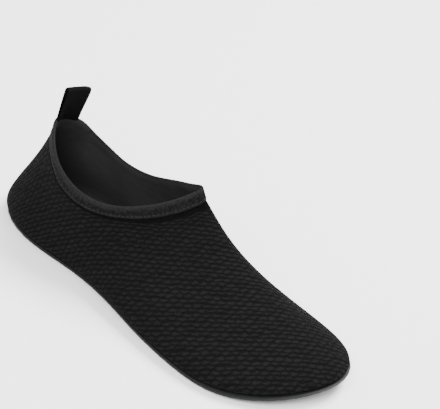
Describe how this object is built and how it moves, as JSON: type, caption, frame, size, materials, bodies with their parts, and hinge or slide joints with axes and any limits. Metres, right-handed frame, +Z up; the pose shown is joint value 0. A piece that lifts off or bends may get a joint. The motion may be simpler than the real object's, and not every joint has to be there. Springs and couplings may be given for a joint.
{
  "type": "water shoe",
  "caption": "Slip-on water shoe for the right foot: hollow knitted stretch upper, bound collar with a pull loop, and a thin grooved rubber outsole.",
  "frame": {"origin": "under the middle of the shoe's box, on the floor", "axes": "+X to the outer side of the foot, +Y to the toe, +Z up"},
  "size_m": [0.1026, 0.262, 0.0985],
  "materials": {
    "outsole_rubber": "satin dark grey rubber",
    "insole_foam": "cloth-faced foam",
    "stretch_knit": "raised knit, matte black",
    "binding_fabric": "smooth stretch binding",
    "webbing": "satin black webbing",
    "patch_rubber": "matte soft rubber"
  },
  "bodies": {
    "root": {"outsole": "outsole_rubber", "insole": "insole_foam", "upper": "stretch_knit", "collar_binding": "binding_fabric", "pull_loop": "webbing", "heel_patch": "patch_rubber"}
  },
  "joints": []
}
